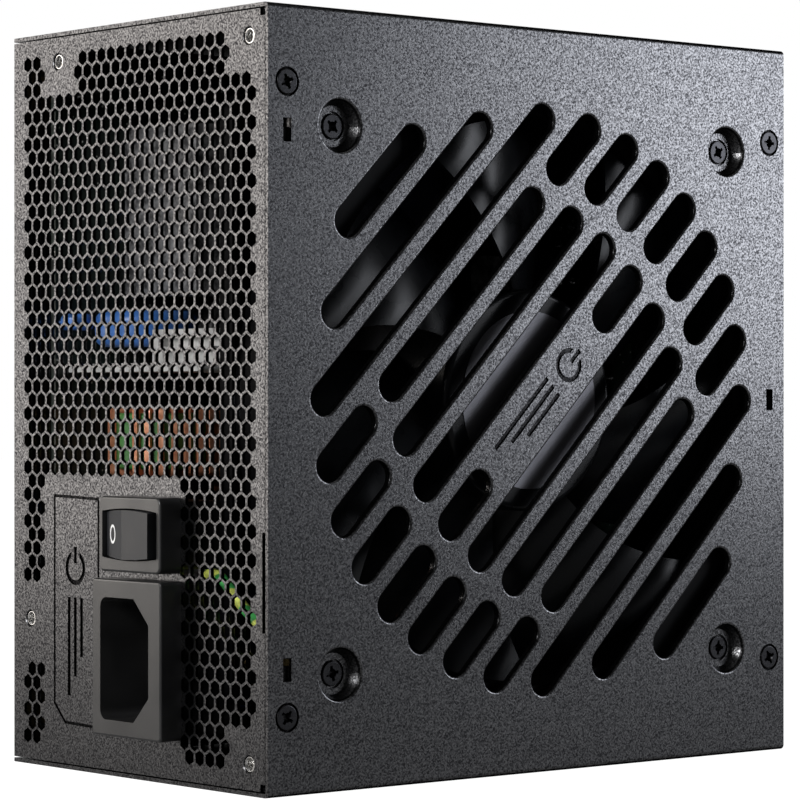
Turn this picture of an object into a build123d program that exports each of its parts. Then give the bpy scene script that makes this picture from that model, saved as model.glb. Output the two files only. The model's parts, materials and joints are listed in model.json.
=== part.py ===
from build123d import *
import os
from math import atan2, cos, degrees, pi, radians, sin, sqrt, tan

# ATX power supply unit: a folded steel case with a 120 mm fan, a mains inlet with a rocker
# switch, the converter board and its parts, and a panel of modular output sockets.
#
# Frame: +Z up with the case standing on its 140 x 86 mm side, the fan facing -Y, the vented rear
# panel with the inlet facing -X and the output sockets facing +X. The origin is the middle of the
# case's footprint. All sizes are in millimetres.

# ---------------------------------------------------------------- driving dimensions
CASE_X = 140.0  # rear panel to output panel
CASE_Y = 86.0  # fan face to back wall
CASE_Z = 150.0  # standing face to top
SHEET = 0.8  # steel sheet of the case
LAP = 0.3  # gap between the cover's side and the edge of the chassis
FLANGE = 8.2  # width of the chassis's return flanges

# cover and its grille
SLOT_ANGLE = 45.0
SLOT_PITCH = 10.0
SLOT_WIDTH = 6.2
SLOT_LIP = 0.7  # depth that the rolled edge of a slot stands in behind the sheet
ROLL = 0.55  # outer rounding of the slot edges
SLOT_CIRCLE = 56.4  # the slots' end arcs have their centres on this radius
SHORT_SLOT = 17.9
SLOT_BRIDGE = 4.0
BADGE_HALF = 21.0  # half length of the plain middle band
RECESS_DEPTH = 2.5  # fan screw dimple
RECESS_R = 5.2
RECESS_FLOOR_R = 4.0
SCREW_HEAD_R = 2.4
SCREW_GAP = 0.45  # clear ring round a sunk screw head
SEAT_DEPTH = 0.5  # straight part of a sunk head's seat
MARK_DEPTH = 0.3

# rear panel
VENT_PITCH = 3.3
VENT_ROW_PITCH = 2.766
VENT_FLATS = 2.72
VENT_LAST_ROW = 25
VENT_LONG_ROW = 24
PLAIN_ROW = 6  # from this row down the panel round the inlet is plain
PLAIN_Y = (-15.4, 32.0)
MOUNT_HOLES = ((-37.0, 144.0), (-37.0, 6.0), (27.0, 144.0), (37.0, 30.0))  # y, z
MOUNT_CLEAR = (5.8, 7.6)
THREAD_R = 1.45
THREAD_LENGTH = 3.2
BOSS_R = 2.5

# fan, 120 x 120 x 25
FAN_SIZE = 120.0
FAN_DEPTH = 25.0
FAN_HOLES = 105.0
FAN_Z = CASE_Z / 2
DUCT_R = 57.8
HUB_R = 22.5
TIP_R = 56.9
BLADES = 7
BLADE_LEAD = 98.0  # angle of the first blade's front edge at the hub
BLADE_SWEEP = 18.5  # how far that edge has turned 27 mm further out
SHAFT_R = 1.5
RUNNING = 0.03  # radial clearance of the shaft in its bearing

# mains inlet and rocker switch, both standing proud of the rear panel
PROUD = 5.0
INLET_Y = (-15.5, 7.7)
INLET_Z = (8.7, 39.7)
SOCKET_Y = (-11.5, 4.8)
SOCKET_Z = (11.9, 36.1)
SOCKET_DEPTH = 16.5
SOCKET_CHAMFER = 5.0
PIN_SPACING = 14.0
PIN_OFFSET = 4.0
SWITCH_Y, SWITCH_Z = -5.0, 48.6
SWITCH_SIZE = (20.6, 14.8)
ROCKER_TILT = 8.0  # either way from level
ROCKER_HALF = 8.5
ROCKER_RIDGE = 1.4  # the ridge stands this far out of the bezel
ROCKER_EDGE = 0.2  # and the two ends this far, when level
ROCKER_HEIGHT = 8.5  # at the two ends
ROCKER_BOW = 0.6  # the middle is this much taller, above and below
ROCKER_PIVOT = 3.0  # behind the bezel's front
WINDOW_HALF = 9.1
PIVOT_R = 1.2

# main board
BOARD = 33.0  # y of the component side
BOARD_T = 1.6
BOARD_X = (-66.5, 59.4)
BOARD_Z = (5.0, 145.0)
BOARD_POSTS = ((-62.0, 10.0), (-62.0, 140.0), (54.0, 10.0), (54.0, 140.0))  # x, z
OUTPUT_BOARD_X = 60.4  # inner face of the socket board

# output sockets
PIN_PITCH = 4.2
SOCKET_W = 9.6
SOCKET_COLUMNS = (
    (28.0, (9, 5, 3, 3, 3)),
    (15.5, (4, 4, 4, 4, 4, 4)),
    (3.0, (4, 4, 4, 4, 4, 4)),
)  # y of the column, contacts per row of each socket from the top down

REAR = -CASE_X / 2
FRONT = CASE_X / 2
FAN_FACE = -CASE_Y / 2
BACK = CASE_Y / 2
FLANGE_Y = FAN_FACE + SHEET + 0.1  # outer side of the flanges behind the cover
FAN_Y = FAN_FACE + RECESS_DEPTH + SHEET  # front of the fan frame
FAN_BACK = FAN_Y + FAN_DEPTH
CHASSIS_Z = (SHEET + LAP, CASE_Z - SHEET - LAP)
PIVOT_X = REAR - PROUD + ROCKER_PIVOT
COVER_SCREWS = ((-65.4, 135.2), (-65.4, 15.0), (65.5, 130.0), (65.5, 20.0))  # x, z
TAB_SLOTS = ((-65.4, 126.1), (-65.4, 24.0), (65.6, 75.1))  # x, z
FAN_CORNERS = [(x, FAN_Z + z) for x in (-FAN_HOLES / 2, FAN_HOLES / 2) for z in (-FAN_HOLES / 2, FAN_HOLES / 2)]

os.makedirs("parts", exist_ok=True)


# ---------------------------------------------------------------- shape helpers
def block(x, y, z):
    """A box from three (low, high) pairs."""
    size = (x[1] - x[0], y[1] - y[0], z[1] - z[0])
    return Pos((x[0] + x[1]) / 2, (y[0] + y[1]) / 2, (z[0] + z[1]) / 2) * Box(*size)


def rod_x(x, y, z, r):
    return Pos((x[0] + x[1]) / 2, y, z) * Rot(0, 90, 0) * Cylinder(r, x[1] - x[0])


def rod_y(x, y, z, r):
    return Pos(x, (y[0] + y[1]) / 2, z) * Rot(90, 0, 0) * Cylinder(r, y[1] - y[0])


def rod_z(x, y, z, r):
    return Pos(x, y, (z[0] + z[1]) / 2) * Cylinder(r, z[1] - z[0])


def cone_y(x, y, z, r_low, r_high):
    """A cone along Y whose radius goes from r_low at y[0] to r_high at y[1]."""
    return Pos(x, (y[0] + y[1]) / 2, z) * Rot(-90, 0, 0) * Cone(r_low, r_high, y[1] - y[0])


def polygon_prism(points, direction):
    """The prism that a closed polygon of 3-D points sweeps along a direction."""
    face = Face(Wire.make_polygon([Vector(*p) for p in points], close=True))
    return Solid.extrude(face, Vector(*direction))


def edges_at(shape, axis, value):
    """The edges that lie wholly in the plane where that axis has that value."""
    return [e for e in shape.edges() if abs(getattr(e.bounding_box().min, axis) - value) < 1e-4
            and abs(getattr(e.bounding_box().max, axis) - value) < 1e-4]


def upright_edges(shape, axis):
    return shape.edges().filter_by(axis)


def corner_radii(points):
    """The largest tangent arcs that a wire's runs leave room for."""
    radii = []
    for a, b, c in zip(points, points[1:], points[2:]):
        before, after = Vector(*b) - Vector(*a), Vector(*c) - Vector(*b)
        half_turn = radians(before.get_angle(after)) / 2
        radii.append(0.45 * min(before.length, after.length) / tan(half_turn))
    return radii


def tube(points, r, name):
    """A round wire along straight runs joined by tangent arcs."""
    radii = corner_radii(points)
    path = FilletPolyline(*points, radius=radii)
    section = Plane(origin=points[0], z_dir=Vector(*points[1]) - Vector(*points[0])) * Circle(r)
    wire = sweep(section, path=path)
    expected = pi * r * r * path.length
    print(name, "radii", [round(v, 1) for v in radii], "volume ratio", round(wire.volume / expected, 3))
    return wire


def save(name, shape):
    """Write one node; a list of solids becomes a group."""
    if isinstance(shape, (list, tuple)):
        shape = Compound(children=[s for item in shape for s in item.solids()])
    elif len(shape.solids()) == 1:
        shape = shape.solids()[0]
    export_step(shape, f"parts/{name}.step")


# ---------------------------------------------------------------- cover
def slot_spans():
    """Every slot of the grille as (row offset, middle, overall length)."""
    end_r = SLOT_WIDTH / 2
    spans = []
    for row in range(-6, 7):
        offset = row * SLOT_PITCH
        if abs(row) == 6:
            spans.append((offset, 0, 29.0))
            continue
        half = sqrt(SLOT_CIRCLE**2 - offset**2) + end_r
        if abs(row) > 3:
            spans.append((offset, 0, 2 * half))
            continue
        for side in (-1, 1):
            spans.append((offset, side * (half - SHORT_SLOT / 2), SHORT_SLOT))
        inner = half - SHORT_SLOT - SLOT_BRIDGE
        if row:
            spans.append((offset, 0, 2 * inner))
        else:
            length = inner - BADGE_HALF
            for side in (-1, 1):
                spans.append((offset, side * (BADGE_HALF + length / 2), length))
    return spans


def grille_plane(y):
    turn = radians(SLOT_ANGLE)
    return Plane(origin=(0, y, FAN_Z), x_dir=(cos(turn), 0, sin(turn)), z_dir=(0, -1, 0))


def slots(y, depth, grow=0.0):
    """All the slots as solids, from y inwards."""
    plane = grille_plane(y)
    shapes = Sketch()
    for offset, middle, length in slot_spans():
        shapes += Pos(middle, offset) * SlotOverall(length + 2 * grow, SLOT_WIDTH + 2 * grow)
    return extrude(plane * shapes, amount=-depth)


def badge(plane, depth):
    """The engraved mark: a plain ring with a gap and a stroke, and three bars of falling length."""
    stroke = 1.0
    ring = Circle(3.5) - Circle(3.5 - stroke) - Pos(2.2, 0) * Rectangle(4.4, 2.8)
    mark = ring + Pos(2.6, 0) * Rectangle(3.4, stroke)
    for i, length in enumerate((20.0, 16.0, 12.0)):
        mark += Pos(-6 - length / 2, 2.2 - 2.2 * i) * Rectangle(length, stroke)
    return extrude(plane * (Pos(10, 0) * mark), amount=-depth)


def seat(x, y, z, hole_r):
    """The hole for a sunk screw head in a sheet whose outer side is at y."""
    r = SCREW_HEAD_R + SCREW_GAP
    straight = rod_y(x, (y - 0.01, y + SEAT_DEPTH), z, r)
    taper = cone_y(x, (y + SEAT_DEPTH, y + SHEET), z, r - 0.3, hole_r)
    return straight + taper + rod_y(x, (y, y + 2), z, hole_r)


def cover():
    face = block((REAR, FRONT), (FAN_FACE, FAN_FACE + SHEET), (0, CASE_Z))
    shape = face + block((REAR, FRONT), (FAN_FACE, BACK), (0, SHEET))
    shape += block((REAR, FRONT), (FAN_FACE, BACK), (CASE_Z - SHEET, CASE_Z))
    long_edges = [e for e in upright_edges(shape, Axis.X) if abs(e.center().Y - FAN_FACE) < 0.01]
    shape = fillet(long_edges, 1.0)
    inner = [e for e in upright_edges(shape, Axis.X)
             if abs(e.center().Y - FAN_FACE - SHEET) < 0.01 and SHEET / 2 < e.center().Z < CASE_Z - SHEET / 2]
    shape = fillet(inner, 0.25)
    shape += slots(FAN_FACE + SHEET, SLOT_LIP, SHEET)
    for x, z in FAN_CORNERS:
        shape += cone_y(x, (FAN_FACE + SHEET, FAN_Y), z, RECESS_R + SHEET, RECESS_FLOOR_R + SHEET)
    shape -= slots(FAN_FACE - 1, SHEET + SLOT_LIP + 2)
    for x, z in FAN_CORNERS:
        shape -= cone_y(x, (FAN_FACE, FAN_FACE + RECESS_DEPTH), z, RECESS_R, RECESS_FLOOR_R)
        shape -= seat(x, FAN_FACE + RECESS_DEPTH, z, 1.8)
    for x, z in COVER_SCREWS:
        shape -= seat(x, FAN_FACE, z, 1.75)
    for x, z in TAB_SLOTS:
        shape -= block((x - 1, x + 1), (FAN_FACE, FAN_FACE + SHEET), (z - 2.25, z + 2.25))
    front = shape.faces().sort_by(Axis.Y)[0]
    rolled = [e for w in front.inner_wires() if w.length > 25 for e in w.edges()]
    shape = fillet(rolled, ROLL)
    return shape - badge(grille_plane(FAN_FACE), MARK_DEPTH)


def cross_recess(depth):
    """A Phillips recess that opens at z = 0 and goes down."""
    arms = Rectangle(3.0, 0.65) + Rectangle(0.65, 3.0)
    return extrude(arms, amount=-depth, taper=8) + Pos(0, 0, -depth / 2) * Cone(0.45, 0.95, depth)


def screw(shank_r, length):
    """A screw that points down, with the rounded top of its sunk head at z = 0."""
    top = Pos(0, 0, -SEAT_DEPTH / 2) * Cylinder(SCREW_HEAD_R, SEAT_DEPTH)
    top = fillet(top.edges().sort_by(Axis.Z)[-1], 0.2)
    neck = SHEET - SEAT_DEPTH - 0.05
    top += Pos(0, 0, -SEAT_DEPTH - neck / 2) * Cone(1.6, SCREW_HEAD_R - 0.4, neck)
    body = top + Pos(0, 0, -length / 2) * Cylinder(shank_r, length)
    return body - Pos(0, 0, 0.01) * cross_recess(1.1)


def outward(x, y, z, spin):
    """The place of a screw that is driven in from the fan face."""
    return Pos(x, y, z) * Rot(90, 0, 0) * Rot(0, 0, spin)


def cover_screws():
    driver = screw(1.4, 7.0)
    return [outward(x, FAN_FACE - 0.05, z, 23 + 31 * i) * driver for i, (x, z) in enumerate(COVER_SCREWS)]


def fan_screws():
    driver = screw(1.7, 8.0)
    y = FAN_FACE + RECESS_DEPTH - 0.1
    return [outward(x, y, z, 12 + 37 * i) * driver for i, (x, z) in enumerate(FAN_CORNERS)]


# ---------------------------------------------------------------- chassis and rear panel
def socket_places():
    """Every output socket as (y, z, contacts per row)."""
    places = []
    for y, counts in SOCKET_COLUMNS:
        lengths = [PIN_PITCH * n + 1.4 for n in counts]
        gap = (CASE_Z - 22 - sum(lengths)) / (len(counts) - 1)
        top = CASE_Z - 11
        for n, length in zip(counts, lengths):
            places.append((y, top - length / 2, n))
            top -= length + gap
    return places


def chassis():
    low, high = CHASSIS_Z
    shape = block((REAR + SHEET, FRONT), (BACK - SHEET, BACK), CHASSIS_Z)
    shape += block((FRONT - SHEET, FRONT), (FLANGE_Y, BACK), CHASSIS_Z)
    for z in ((low, low + SHEET), (high - SHEET, high)):
        shape += block((REAR + SHEET, FRONT), (BACK - FLANGE, BACK), z)
        shape += block((REAR + SHEET, REAR + FLANGE), (FLANGE_Y, BACK), z)
        shape += block((FRONT - FLANGE, FRONT), (FLANGE_Y, BACK), z)
    for x in ((REAR + SHEET, REAR + FLANGE), (FRONT - FLANGE, FRONT)):
        shape += block(x, (FLANGE_Y, FLANGE_Y + SHEET), CHASSIS_Z)
    shape = fillet([e for e in upright_edges(shape, Axis.Z)
                    if e.center().X > FRONT - 0.01 and abs(e.center().Y) > BACK - 2], 0.7)
    for x, z in COVER_SCREWS:
        shape += rod_y(x, (FLANGE_Y + SHEET, FLANGE_Y + 2.6), z, 2.4)
        shape -= rod_y(x, (FLANGE_Y - 1, FLANGE_Y + 3), z, 1.45)
    for x, z in TAB_SLOTS:
        shape -= block((x - 1.3, x + 1.3), (FLANGE_Y - 1, FLANGE_Y + SHEET), (z - 2.6, z + 2.6))
        shape += block((x - 0.5, x + 1.4), (FLANGE_Y + 0.4, FLANGE_Y + SHEET), (z - 2.7, z + 0.6))
    shape -= block((REAR, REAR + 3), (FLANGE_Y - 1, FLANGE_Y + SHEET), (31, 50))
    for y, z, n in socket_places():
        length = PIN_PITCH * n + 1.4 + 0.5
        hole = block((FRONT - SHEET - 1, FRONT + 1), (y - 5.05, y + 5.05), (z - length / 2, z + length / 2))
        shape -= hole
    return shape


def vent_centres():
    """The (y, z) of every vent that clears the mounting holes and the plain area."""
    centres = []
    for row in range(-VENT_LAST_ROW, VENT_LAST_ROW + 1):
        z = CASE_Z / 2 - row * VENT_ROW_PITCH
        count = VENT_LONG_ROW - (row + 1) % 2
        for i in range(count):
            y = (i - (count - 1) / 2) * VENT_PITCH
            near_mount = any(abs(y - mount_y) < MOUNT_CLEAR[0] and abs(z - mount_z) < MOUNT_CLEAR[1]
                             for mount_y, mount_z in MOUNT_HOLES)
            plain = row >= PLAIN_ROW and PLAIN_Y[0] < y < PLAIN_Y[1]
            if not near_mount and not plain:
                centres.append((y, z))
    return centres


def hexagon(y, z):
    r = VENT_FLATS / sqrt(3)
    corners = [(y + r * cos(radians(a)), z + r * sin(radians(a))) for a in range(30, 390, 60)]
    return Wire.make_polygon([Vector(REAR, a, b) for a, b in corners], close=True)


def rectangle_wire(y, z):
    corners = ((y[0], z[0]), (y[1], z[0]), (y[1], z[1]), (y[0], z[1]))
    return Wire.make_polygon([Vector(REAR, a, b) for a, b in corners], close=True)


def groove(start, end):
    """A thin engraved line on the rear panel between two (y, z) points."""
    dy, dz = end[0] - start[0], end[1] - start[1]
    length = sqrt(dy * dy + dz * dz)
    middle = Pos(REAR, (start[0] + end[0]) / 2, (start[1] + end[1]) / 2)
    return middle * Rot(degrees(atan2(dz, dy)), 0, 0) * Box(0.5, length + 0.6, 0.6)


def rear_panel():
    low, high = CHASSIS_Z
    notch = 1.4
    outline = [(BACK, low), (BACK, high), (FLANGE_Y + 0.1 + notch, high), (FLANGE_Y + 0.1 + notch, high - notch),
               (FLANGE_Y + 0.1, high - notch), (FLANGE_Y + 0.1, 50), (FLANGE_Y + 0.9, 50), (FLANGE_Y + 0.9, 31),
               (FLANGE_Y + 0.1, 31), (FLANGE_Y + 0.1, low + notch), (FLANGE_Y + 0.1 + notch, low + notch),
               (FLANGE_Y + 0.1 + notch, low)]
    outer = Wire.make_polygon([Vector(REAR, y, z) for y, z in outline], close=True)
    holes = [hexagon(y, z) for y, z in vent_centres()]
    holes.append(rectangle_wire((INLET_Y[0] + 0.7, INLET_Y[1] - 0.7), (INLET_Z[0] + 0.7, INLET_Z[1] - 0.7)))
    half_y, half_z = SWITCH_SIZE[0] / 2 - 0.7, SWITCH_SIZE[1] / 2 - 0.7
    holes.append(rectangle_wire((SWITCH_Y - half_y, SWITCH_Y + half_y), (SWITCH_Z - half_z, SWITCH_Z + half_z)))
    panel = Solid.extrude(Face(outer, holes), Vector(SHEET, 0, 0))
    bosses = [rod_x((REAR + SHEET, REAR + THREAD_LENGTH), y, z, BOSS_R) for y, z in MOUNT_HOLES]
    cuts = [rod_x((REAR - 1, REAR + THREAD_LENGTH + 1), y, z, THREAD_R) for y, z in MOUNT_HOLES]
    lead_in = Rot(0, 90, 0) * Cone(THREAD_R + 0.35, THREAD_R, 0.3)
    cuts += [Pos(REAR + 0.15, y, z) * lead_in for y, z in MOUNT_HOLES]
    left, right = BACK - 14.9, BACK - 30.4
    corners = [(right, INLET_Z[1]), (right, 55.1), (left, 55.5), (left, 13.2), (left - 3.8, 9.5),
               (INLET_Y[1], 9.1)]
    cuts += [groove(a, b) for a, b in zip(corners, corners[1:])]
    mark_plane = Plane(origin=(REAR, BACK - 22.3, 31), x_dir=(0, 0, 1), z_dir=(-1, 0, 0))
    cuts.append(badge(mark_plane, MARK_DEPTH))
    return panel + bosses - cuts


# ---------------------------------------------------------------- mains inlet
def socket_outline(grow, x):
    """The inlet's opening, with two cut corners on the side towards the fan."""
    y0, y1 = SOCKET_Y[0] - grow, SOCKET_Y[1] + grow
    z0, z1 = SOCKET_Z[0] - grow, SOCKET_Z[1] + grow
    c = SOCKET_CHAMFER
    corners = [(y1, z0), (y1, z1), (y0 + c, z1), (y0, z1 - c), (y0, z0 + c), (y0 + c, z0)]
    return [(x, y, z) for y, z in corners]


def inlet_housing():
    front = REAR - PROUD
    bezel = block((front, REAR), INLET_Y, INLET_Z)
    bezel = fillet(upright_edges(bezel, Axis.X), 0.8)
    bezel = fillet(edges_at(bezel, "X", front), 0.45)
    rear_y = (INLET_Y[0] + 0.8, INLET_Y[1] - 0.8)
    rear_z = (INLET_Z[0] + 0.8, INLET_Z[1] - 0.8)
    body = bezel + block((REAR, front + SOCKET_DEPTH + 2.5), rear_y, rear_z)
    cavity = polygon_prism(socket_outline(0, front - 1), (SOCKET_DEPTH + 1, 0, 0))
    long_side = [e for e in upright_edges(cavity, Axis.X) if e.center().Y > SOCKET_Y[1] - 0.01]
    body -= fillet(long_side, 2.0)
    for cut in inlet_pins(0.0):
        body -= cut
    return body


def blade_x(x, y, z):
    """A contact blade 4 mm by 2 mm with a chamfered tip at its -X end."""
    shape = block(x, (y - 2, y + 2), (z - 1, z + 1))
    return chamfer(edges_at(shape, "X", x[0]), 0.5)


def inlet_pins(tail):
    """Line, neutral and earth blades through the housing's back wall."""
    middle_y = sum(SOCKET_Y) / 2
    middle_z = sum(SOCKET_Z) / 2
    end = REAR - PROUD + SOCKET_DEPTH + 2.5 + tail
    tip = REAR - PROUD + 8.5
    line = [blade_x((tip, end), middle_y + PIN_OFFSET / 2, middle_z + side * PIN_SPACING / 2)
            for side in (-1, 1)]
    return line + [blade_x((tip - 2, end), middle_y - PIN_OFFSET / 2, middle_z)]


# ---------------------------------------------------------------- rocker switch
def barrel(height, half, bulge, x):
    """A prism along X whose two ends in Z bow outwards by the bulge."""
    h = height / 2
    low = ThreePointArc((-half, -h), (0, -h - bulge), (half, -h))
    high = ThreePointArc((half, h), (0, h + bulge), (-half, h))
    face = make_face([low, Line((half, -h), (half, h)), high, Line((-half, h), (-half, -h))])
    plane = Plane(origin=(x[0], SWITCH_Y, SWITCH_Z), x_dir=(0, 1, 0), z_dir=(1, 0, 0))
    return extrude(plane * face, amount=x[1] - x[0])


def rocker():
    """The rocker in its rest position: the end towards +Y pressed in."""
    ridge, edge = ROCKER_PIVOT + ROCKER_RIDGE, ROCKER_PIVOT + ROCKER_EDGE
    back, foot = 3.5, ROCKER_HALF - 2.5
    profile = [(-ridge, 0), (-edge, ROCKER_HALF), (back, foot), (back, -foot), (-edge, -ROCKER_HALF)]
    tall = ROCKER_HEIGHT + 2 * ROCKER_BOW + 1
    body = polygon_prism([(x, y, -tall / 2) for x, y in profile], (0, 0, tall))
    body = Pos(PIVOT_X, SWITCH_Y, SWITCH_Z) * Rot(0, 0, -ROCKER_TILT) * body
    body = body & barrel(ROCKER_HEIGHT, WINDOW_HALF, ROCKER_BOW, (PIVOT_X - 9, PIVOT_X + 5))
    pins = rod_z(PIVOT_X, SWITCH_Y, (SWITCH_Z - 6.2, SWITCH_Z + 6.2), PIVOT_R)
    return body + pins


def switch_housing():
    front = REAR - PROUD
    half_y, half_z = SWITCH_SIZE[0] / 2, SWITCH_SIZE[1] / 2
    bezel = block((front, REAR), (SWITCH_Y - half_y, SWITCH_Y + half_y), (SWITCH_Z - half_z, SWITCH_Z + half_z))
    bezel = fillet(upright_edges(bezel, Axis.X), 1.4)
    bezel = fillet(edges_at(bezel, "X", front), 0.45)
    side_y, side_z = half_y - 0.8, half_z - 0.8
    rear_y = (SWITCH_Y - side_y, SWITCH_Y + side_y)
    rear_z = (SWITCH_Z - side_z, SWITCH_Z + side_z)
    body = bezel + block((REAR, REAR + 12), rear_y, rear_z)
    body -= barrel(ROCKER_HEIGHT + 0.6, WINDOW_HALF, ROCKER_BOW, (front - 1, REAR + 9.5))
    return body - rod_z(PIVOT_X, SWITCH_Y, (SWITCH_Z - 6.4, SWITCH_Z + 6.4), PIVOT_R + 0.05)


def switch_terminals():
    y_places = (SWITCH_Y - 5, SWITCH_Y + 5)
    return [block((REAR + 12, REAR + 19), (y - 0.4, y + 0.4), (z - 2.4, z + 2.4))
            for y in y_places for z in (SWITCH_Z - 3.2, SWITCH_Z + 3.2)]


# ---------------------------------------------------------------- fan
def fan_rod(y, r):
    return rod_y(0, y, FAN_Z, r)


def fan_frame():
    half = FAN_SIZE / 2
    shape = fan_rod((FAN_Y, FAN_BACK), DUCT_R + 1.6)
    for y in ((FAN_Y, FAN_Y + 4), (FAN_BACK - 4, FAN_BACK)):
        flange = block((-half, half), y, (FAN_Z - half, FAN_Z + half))
        shape += fillet(upright_edges(flange, Axis.Y), 4.0)
    shape -= fan_rod((FAN_Y - 1, FAN_BACK + 1), DUCT_R)
    for x, z in FAN_CORNERS:
        shape -= rod_y(x, (FAN_Y - 1, FAN_BACK + 1), z, 1.75)
    base = fan_rod((FAN_BACK - 3, FAN_BACK), 21)
    for angle in (0, 90, 180, 270):
        arm = block((19, DUCT_R + 0.8), (FAN_BACK - 3.4, FAN_BACK - 0.2), (-2.5, 2.5))
        base += Pos(0, 0, FAN_Z) * Rot(0, angle, 0) * arm
    base += fan_rod((FAN_BACK - 17, FAN_BACK - 3), 5.0)
    base -= fan_rod((FAN_BACK - 18, FAN_BACK - 1.5), 4.0)
    return shape + base


def blade_section(reach):
    """One closed section of the first blade, in a flat plane at that distance from the axis."""
    lead = radians(BLADE_LEAD + BLADE_SWEEP * (reach - 24) / 27)
    span = radians(43)
    middle = lead - span / 2
    half = reach * tan(span / 2)
    depth = 15.5 - 0.05 * reach
    front_y = FAN_Y + 3.2
    thick = 0.9
    plane = Plane(origin=(reach * cos(middle), 0, FAN_Z + reach * sin(middle)),
                  x_dir=(-sin(middle), 0, cos(middle)), z_dir=(cos(middle), 0, sin(middle)))
    # in this plane x runs towards the leading edge and y runs along -Y of the case
    a, b = (half, -front_y), (-half, -front_y - depth)
    bow = 0.09 * 2 * half
    mid_x, mid_y = 0, -front_y - depth / 2 + bow
    upper = ThreePointArc(a, (mid_x, mid_y + thick), b)
    lower = ThreePointArc((b[0], b[1] - thick), (mid_x, mid_y - thick), (a[0], a[1] - thick))
    ends = [Line(b, (b[0], b[1] - thick)), Line((a[0], a[1] - thick), a)]
    return plane * make_face([upper, ends[0], lower, ends[1]])


def fan_rotor():
    hub = fan_rod((FAN_Y + 0.8, FAN_Y + 19), HUB_R)
    hub = fillet(edges_at(hub, "Y", FAN_Y + 0.8), 1.2)
    hub -= fan_rod((FAN_Y + 2.3, FAN_Y + 20), HUB_R - 1.4)
    hub += fan_rod((FAN_Y + 2.3, FAN_Y + 4.6), 3.4)
    hub -= fan_rod((FAN_Y + 2.3, FAN_Y + 5), SHAFT_R)
    first = loft([blade_section(reach) for reach in (16, 30, 44, 60)])
    ring = fan_rod((FAN_Y + 1, FAN_BACK - 3.6), TIP_R) - fan_rod((FAN_Y, FAN_BACK), HUB_R - 0.7)
    first = first & ring
    shape = hub
    for i in range(BLADES):
        shape += Pos(0, 0, FAN_Z) * Rot(0, i * 360 / BLADES, 0) * Pos(0, 0, -FAN_Z) * first
    return shape


def stator():
    """Laminated core with four T-shaped poles."""
    y = (FAN_Y + 9, FAN_Y + 16)
    core = fan_rod(y, 8)
    for angle in (45, 135, 225, 315):
        pole = block((7, 16.5), y, (-1.6, 1.6))
        shoe = (rod_y(0, y, 0, 18) - rod_y(0, y, 0, 16.2)) & block((8, 19), y, (-9, 9))
        core += Pos(0, 0, FAN_Z) * Rot(0, angle, 0) * (pole + shoe)
    return core - fan_rod((y[0] - 1, y[1] + 1), 5.0)


def stator_coils():
    y = (FAN_Y + 7.6, FAN_Y + 17.4)
    outer = block((9.5, 15.2), y, (-4.2, 4.2))
    outer = fillet(upright_edges(outer, Axis.X), 1.5)
    coil = outer - block((9, 16.5), (FAN_Y + 8.9, FAN_Y + 16.1), (-1.7, 1.7))
    return [Pos(0, 0, FAN_Z) * Rot(0, angle, 0) * coil for angle in (45, 135, 225, 315)]


def ring_y(y, outer, inner):
    return fan_rod(y, outer) - fan_rod((y[0] - 1, y[1] + 1), inner)


# ---------------------------------------------------------------- main board and its parts
def on_board(x, z, height, lift=0.0):
    """A box standing on the component side of the board."""
    return block(x, (BOARD - lift - height, BOARD - lift), z)


def can(x, z, r, height):
    """An electrolytic capacitor standing on the board, with the crimped groove near its foot."""
    shape = rod_y(x, (BOARD - height, BOARD), z, r)
    shape = fillet(shape.edges().sort_by(Axis.Y)[0], 0.8)
    groove_ring = rod_y(x, (BOARD - 3.6, BOARD - 2.4), z, r + 1) - rod_y(x, (BOARD - 4, BOARD - 2), z, r - 0.5)
    return shape - groove_ring


def main_board():
    shape = block(BOARD_X, (BOARD, BOARD + BOARD_T), BOARD_Z)
    for x, z in BOARD_POSTS:
        shape -= rod_y(x, (BOARD - 1, BOARD + BOARD_T + 1), z, 1.7)
    return shape


def board_posts():
    low = BOARD + BOARD_T
    return [rod_y(x, (low, BACK - SHEET), z, 3.0) - rod_y(x, (low - 1, low + 5), z, 1.3)
            for x, z in BOARD_POSTS]


def board_screws():
    head = Pos(0, 0, 0.8) * Cylinder(2.7, 1.6)
    head = fillet(head.edges().sort_by(Axis.Z)[-1], 0.7)
    driver = head + Pos(0, 0, -3.0) * Cylinder(1.25, 6.0) - Pos(0, 0, 1.61) * cross_recess(1.1)
    return [outward(x, BOARD, z, 17 + 29 * i) * driver for i, (x, z) in enumerate(BOARD_POSTS)]


def insulation_sheet():
    shape = block((-68, 68), (BACK - SHEET - 0.4, BACK - SHEET), (3, 147))
    for x, z in BOARD_POSTS:
        shape -= rod_y(x, (BACK - 2, BACK), z, 3.2)
    return shape


def wound_ring(place, outer, inner, tall, wire, turns, gap):
    """A toroid about local Z: its core, and one closed loop of wire for each turn."""
    core = Cylinder(outer, tall) - Cylinder(inner, tall + 2)
    core = fillet(core.edges(), 0.8)
    reach = wire + 0.15
    loop_outer = fillet(Rectangle(outer - inner + 2 * reach, tall + 2 * reach).vertices(), 1.2)
    loop_inner = fillet(Rectangle(outer - inner + 0.3, tall + 0.3).vertices(), 0.5)
    section = Plane.XZ * (loop_outer - loop_inner)
    loop = Pos((outer + inner) / 2, wire / 2, 0) * extrude(section, amount=wire)
    step = (180 - gap) / (turns - 1)
    angles = [side + gap / 2 + i * step for side in (0, 180) for i in range(turns)]
    return place * core, [place * Rot(0, 0, a) * loop for a in angles]


def line_choke():
    return wound_ring(Pos(-47.5, 19.2, 66.6), 11.4, 6.6, 11.5, 1.2, 12, 40)


def pfc_choke():
    return wound_ring(Pos(-12, BOARD - 11.5, 62) * Rot(90, 0, 0), 16.0, 8.5, 16.0, 1.4, 15, 16)


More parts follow.
